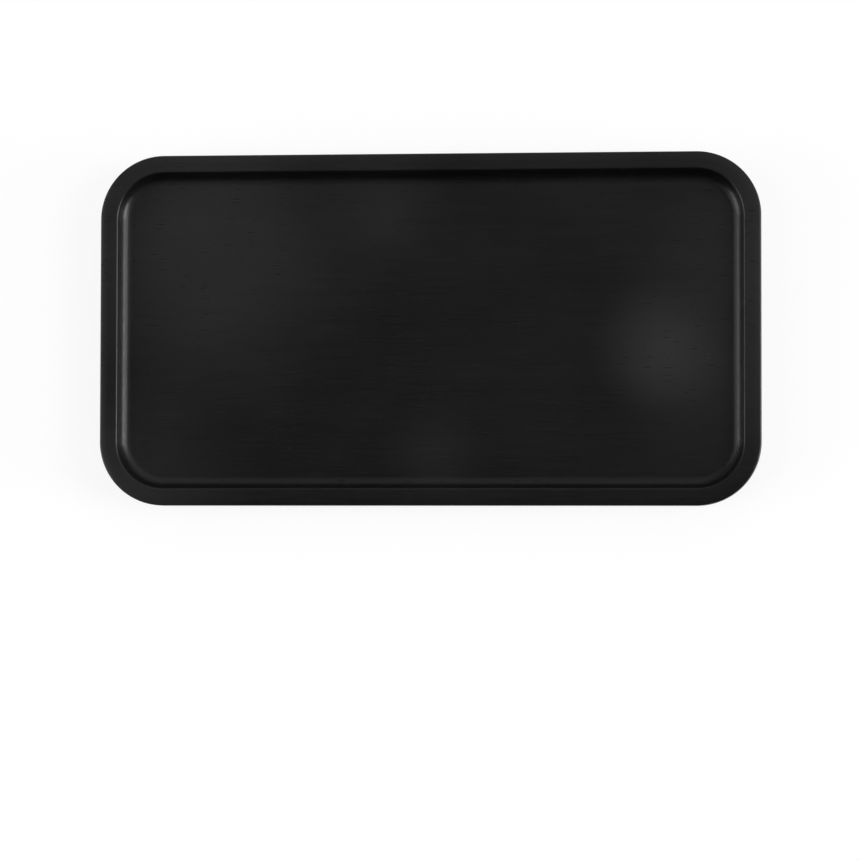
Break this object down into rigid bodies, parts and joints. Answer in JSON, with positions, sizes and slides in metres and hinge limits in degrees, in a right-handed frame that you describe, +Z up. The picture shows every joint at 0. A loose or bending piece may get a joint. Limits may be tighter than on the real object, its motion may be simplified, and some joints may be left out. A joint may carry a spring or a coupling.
{
  "type": "tea tray",
  "caption": "Rectangular black wooden tea tray with rounded corners, a narrow flat rim, a shallow coved recess and a rounded lower edge on small rubber pads.",
  "frame": {"origin": "middle of the tray in plan, on the surface it stands on, at the foot pads' undersides", "axes": "+X along the tray's length and the wood grain, +Y to the back, +Z up"},
  "size_m": [0.32, 0.17, 0.019],
  "materials": {
    "black_lacquered_wood": "satin black stain and lacquer over open short pores",
    "pad_rubber": "matte",
    "pad_tape": "matte"
  },
  "bodies": {
    "root": {"front_stave": "black_lacquered_wood", "inner_front_stave": "black_lacquered_wood", "middle_stave": "black_lacquered_wood", "inner_back_stave": "black_lacquered_wood", "back_stave": "black_lacquered_wood", "foot_pad_front_left": "pad_rubber", "foot_pad_front_right": "pad_rubber", "foot_pad_back_left": "pad_rubber", "foot_pad_back_right": "pad_rubber", "pad_tape_front_left": "pad_tape", "pad_tape_front_right": "pad_tape", "pad_tape_back_left": "pad_tape", "pad_tape_back_right": "pad_tape"}
  },
  "joints": []
}
